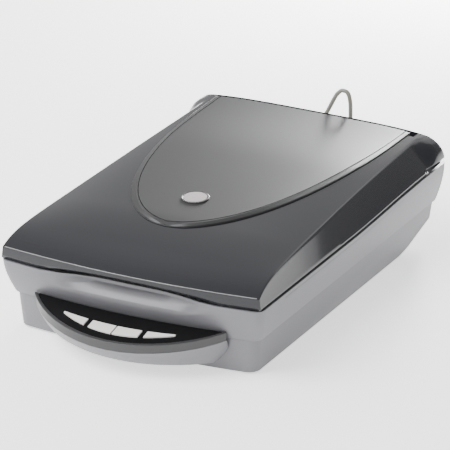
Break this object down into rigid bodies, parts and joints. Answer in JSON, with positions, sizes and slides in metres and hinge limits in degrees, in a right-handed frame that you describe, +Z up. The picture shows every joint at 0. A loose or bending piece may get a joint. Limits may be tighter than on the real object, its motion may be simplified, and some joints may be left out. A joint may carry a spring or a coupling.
{
  "type": "flatbed scanner",
  "caption": "Silver flatbed document scanner with a hinged dark lid that holds a film lamp, a half-moon control panel, and a belt-driven scanning carriage under glass.",
  "frame": {"origin": "on the table, under the middle of the whole object", "axes": "+X to the right as seen from the front, +Y from the control panel to the hinges, +Z up"},
  "size_m": [0.291, 0.486, 0.1325],
  "materials": {
    "silver_paint": "satin silver paint over moulded plastic",
    "black_gloss": "glossy near-black plastic",
    "gunmetal_paint": "glossy gunmetal metallic paint",
    "dark_rim": "satin dark grey plastic",
    "pearl_button": "pearly white plastic",
    "pink_badge": "pinkish silver disc in a dark ring",
    "black_plastic": "matt black plastic",
    "white_plastic": "matt white plastic",
    "white_pad": "soft white pad",
    "clear_glass": "clear float glass",
    "lamp_tube": "milky lamp tube",
    "mirror": "front-silvered glass",
    "steel": "bare steel",
    "rubber": "black rubber",
    "circuit_board": "green circuit board",
    "grey_cord": "grey cable sheath"
  },
  "bodies": {
    "base": {"upper_case": "silver_paint", "lower_case": "silver_paint", "chin_shell": "silver_paint", "foot_front_left": "rubber", "foot_front_right": "rubber", "foot_rear_left": "rubber", "foot_rear_right": "rubber", "case_screw_left": "steel", "case_screw_right": "steel", "platen_glass": "clear_glass", "reference_strip": "white_plastic", "panel_fascia": "black_gloss", "panel_rim": "dark_rim", "button_board": "circuit_board", "post_guide_left": "black_plastic", "post_guide_right": "black_plastic", "stepper_motor": "steel", "idler_bracket": "steel", "drive_belt": "rubber", "tension_spring": "steel", "guide_rod": "steel", "rod_clip_front": "black_plastic", "rod_clip_rear": "black_plastic", "slide_rail": "black_plastic", "main_board": "circuit_board", "power_socket": "black_plastic", "usb_socket": "steel", "lamp_socket": "black_plastic", "ribbon_cable": "white_plastic", "lid_cable": "grey_cord", "cable_plug": "black_plastic"},
    "carriage": {"carriage_frame": "black_plastic", "scan_lamp": "lamp_tube", "lamp_reflector": "mirror", "mirror_upper": "mirror", "mirror_lower": "mirror", "scan_lens": "black_plastic", "sensor_board": "circuit_board", "belt_clamp": "black_plastic"},
    "lid_posts": {"hinge_post_left": "black_plastic", "hinge_post_right": "black_plastic"},
    "lid": {"lid_shell": "black_gloss", "tongue_panel": "gunmetal_paint", "lid_badge": "pink_badge", "lid_lining": "white_plastic", "film_light_guide": "clear_glass", "film_lamp": "lamp_tube", "document_pad": "white_pad", "hinge_yoke_left": "black_plastic", "hinge_yoke_right": "black_plastic", "cable_gland": "black_plastic"},
    "gear": {"drive_gear": "white_plastic"},
    "idler": {"idler_pulley": "white_plastic"},
    "pinion": {"motor_pinion": "steel"},
    "lock": {"carriage_lock": "black_plastic"},
    "copy_key": {"button_copy": "pearl_button"},
    "scan_key": {"button_scan": "pearl_button"},
    "file_key": {"button_file": "pearl_button"},
    "mail_key": {"button_mail": "pearl_button"}
  },
  "joints": [
    {"name": "lid_lift", "type": "slide", "parent": "base", "child": "lid_posts", "axis": [0, 0, 1], "range_m": [0, 0.018], "deforming": ["lid_cable"]},
    {"name": "lid_open", "type": "hinge", "parent": "lid_posts", "child": "lid", "pos_m": [0, 0.216, 0.0925], "axis": [-1, 0, 0], "range_deg": [0, 80], "deforming": ["lid_cable"]},
    {"name": "carriage_scan", "type": "slide", "parent": "base", "child": "carriage", "axis": [0, -1, 0], "range_m": [0, 0.27], "deforming": ["ribbon_cable"]},
    {"name": "drive_gear_spin", "type": "hinge", "parent": "base", "child": "gear", "pos_m": [0.04, 0.199, 0.0269], "axis": [0, 0, 1], "range_deg": [0, 2060]},
    {"name": "idler_spin", "type": "hinge", "parent": "base", "child": "idler", "pos_m": [0.04, -0.167, 0.021], "axis": [0, 0, 1], "range_deg": [0, 2060]},
    {"name": "motor_spin", "type": "hinge", "parent": "base", "child": "pinion", "pos_m": [0.025, 0.199, 0.0277], "axis": [0, 0, 1], "range_deg": [-8240, 0]},
    {"name": "lock_slide", "type": "slide", "parent": "base", "child": "lock", "axis": [0, 1, 0], "range_m": [0, 0.007]},
    {"name": "press_copy", "type": "slide", "parent": "base", "child": "copy_key", "axis": [0, 0, -1], "range_m": [0, 0.0008], "stiffness_N_per_m": 800},
    {"name": "press_scan", "type": "slide", "parent": "base", "child": "scan_key", "axis": [0, 0, -1], "range_m": [0, 0.0008], "stiffness_N_per_m": 800},
    {"name": "press_file", "type": "slide", "parent": "base", "child": "file_key", "axis": [0, 0, -1], "range_m": [0, 0.0008], "stiffness_N_per_m": 800},
    {"name": "press_mail", "type": "slide", "parent": "base", "child": "mail_key", "axis": [0, 0, -1], "range_m": [0, 0.0008], "stiffness_N_per_m": 800}
  ],
  "couplings": [
    {"joint": "drive_gear_spin", "follows": "carriage_scan", "rad_per_m": 128.21},
    {"joint": "idler_spin", "follows": "carriage_scan", "rad_per_m": 128.21},
    {"joint": "motor_spin", "follows": "carriage_scan", "rad_per_m": -512.82}
  ]
}
